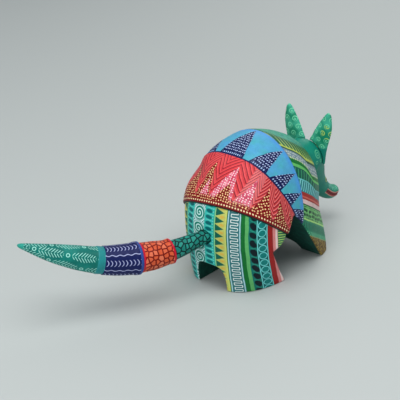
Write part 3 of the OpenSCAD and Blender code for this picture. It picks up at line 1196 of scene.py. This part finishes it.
def paint_sprigs(work, section, length):
    """Fern sprigs with small rings between them, light on teal."""
    across, odd = tail_coordinates(work, 6, 0.45)
    place = length + odd * (SPRIG_LENGTH / 2)
    spot = place.wrap(SPRIG_LENGTH)
    reach = 2.7 - abs(spot) * 0.2
    leaf = bars(place + abs(across) * 0.9, 1.55, 0.2) * over(abs(across), 0.2)
    leaves = leaf * below(abs(across) - reach, 0) * below(abs(spot), SPRIG_LENGTH / 2 - 2.2)
    ring = hypot(place.wrap(SPRIG_LENGTH, SPRIG_LENGTH / 2), across)
    rings = between(ring, 0.65, 1.05)
    work.lay(section, (8, 106, 98), raised=0.2)
    work.lay(section * over(work.noise(0.12, 1), 0.5, 0.1), (14, 124, 114))
    work.lay(section * either(leaves, rings), (160, 232, 220), raised=1)


def tail_material():
    work = Paintwork("paint_tail", TEAL)
    station, length = work.read("station", 0.004), work.read("length", 0.3)
    ends = (-1, TAIL_ROOT_END, TAIL_ORANGE_END, TAIL_NAVY_END, TAIL_COLLAR_END, 6)
    root, orange, navy, collar, tip = (
        between(station, low, high, 0.004) for low, high in zip(ends, ends[1:])
    )
    paint_pebbles(work, root, 2.9, (24, 122, 112), (0, 40, 42), (38, 142, 130))
    paint_pebbles(work, orange, 2.8, (210, 88, 52), (116, 16, 8), (222, 112, 80))
    for low, high in ((TAIL_ROOT_END, 1.03), (1.885, TAIL_ORANGE_END)):
        work.lay(between(station, low, high, 0.004), (196, 26, 50), raised=0.5)
    paint_navy(work, navy, length)
    work.lay(between(station, TAIL_ORANGE_END, 2.03, 0.006), (46, 74, 148), raised=0.5)
    work.lay(collar, (34, 134, 138), raised=0.5)
    paint_sprigs(work, tip, length)
    work.lay(over(station, 4.86, 0.01), (38, 150, 136))
    return work.varnish()


def wood_material():
    """Bare copal wood on the pegs, which only shows when a piece is pulled out."""
    work = Paintwork("bare_wood", (206, 172, 122))
    grain = work.cells(0.9, "F1", stretch=(1, 0.12, 0.3))
    work.lay(grain * 0.5, (176, 138, 90))
    work.lay(over(work.noise(0.8, 4), 0.6, 0.05) * 0.6, (150, 112, 70))
    return work.varnish(roughness=0.6, coat=0.0)


# -------- stage

CAMERA_TURN = math.radians(40)
CAMERA_DIP = math.radians(24)
CAMERA_PLACE = (-309.4, 420.0, 270.5)
LENS = 90.0
SENSOR = 36.0

# Lamps in metres: name, place, size, watts and colour, all turned to a point in the figure
LAMPS = [
    ("overhead", (-0.2, 0.15, 0.95), 0.9, 6.8, (1.0, 0.99, 0.97)),
    ("rear", (-0.2, 0.95, 0.45), 0.6, 4.2, (1.0, 0.98, 0.95)),
    ("front", (0.3, -0.8, 0.5), 0.7, 1.6, (1.0, 0.98, 0.95)),
]
LIT_POINT = (0, 0, 0.03)
ROOM_COLOUR = (0.93, 0.97, 1.0, 1)
ROOM_LIGHT = 0.36
FLOOR_SIZE = 6
FLOOR_PAINT = (186, 193, 193)


def add_camera():
    sin_t, cos_t = math.sin(CAMERA_TURN), math.cos(CAMERA_TURN)
    right = Vector((-cos_t, -sin_t, 0))
    level = math.cos(CAMERA_DIP)
    ahead = Vector((sin_t * level, -cos_t * level, -math.sin(CAMERA_DIP)))
    up = right.cross(ahead)
    data = bpy.data.cameras.new("camera")
    data.lens = LENS
    data.sensor_width = SENSOR
    data.clip_start = 0.01
    camera = add_object("camera", data)
    place = (Vector(CAMERA_PLACE) + Vector(ORIGIN)) * MM
    turned = Matrix((right, up, -ahead)).transposed().to_4x4()
    camera.matrix_world = Matrix.Translation(place) @ turned
    bpy.context.scene.camera = camera


def add_light(name, place, size, watts, tint):
    data = bpy.data.lights.new(name, "AREA")
    data.shape = "DISK"
    data.size = size
    data.energy = watts
    data.color = tint
    lamp = add_object(name, data)
    lamp.location = place
    ray = Vector(LIT_POINT) - Vector(place)
    lamp.rotation_euler = ray.to_track_quat("-Z", "Y").to_euler()


def add_floor():
    bpy.ops.mesh.primitive_plane_add(size=FLOOR_SIZE)
    floor = bpy.context.object
    floor.name = "floor"
    material = bpy.data.materials.new("floor_pale")
    material.use_nodes = True
    finish = material.node_tree.nodes["Principled BSDF"].inputs
    finish["Base Color"].default_value = linear(FLOOR_PAINT)
    finish["Roughness"].default_value = 0.7
    floor.data.materials.append(material)


def add_lighting():
    for lamp in LAMPS:
        add_light(*lamp)
    world = bpy.data.worlds.new("studio")
    world.use_nodes = True
    room = world.node_tree.nodes["Background"].inputs
    room["Color"].default_value = ROOM_COLOUR
    room["Strength"].default_value = ROOM_LIGHT
    bpy.context.scene.world = world
    bpy.context.scene.view_settings.view_transform = "Standard"


# -------- assembly


def finish_piece(obj, materials, body, node):
    for material in materials:
        obj.data.materials.append(material)
    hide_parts(node)
    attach(obj, body)


def main():
    add_camera()
    add_lighting()
    add_floor()
    wood = wood_material()
    paints = [
        rump_material(),
        hind_plate_material(),
        middle_plate_material(),
        shoulder_material(),
        head_material(),
        inside_material(),
    ]
    finish_piece(build_body(), paints, "body", "body")
    finish_piece(build_tail(), [tail_material(), wood], "tail", "tail")
    ear = ear_material()
    for side, node in ((1, "ear_left"), (-1, "ear_right")):
        finish_piece(build_ear(side), [ear, wood], node, node)


main()
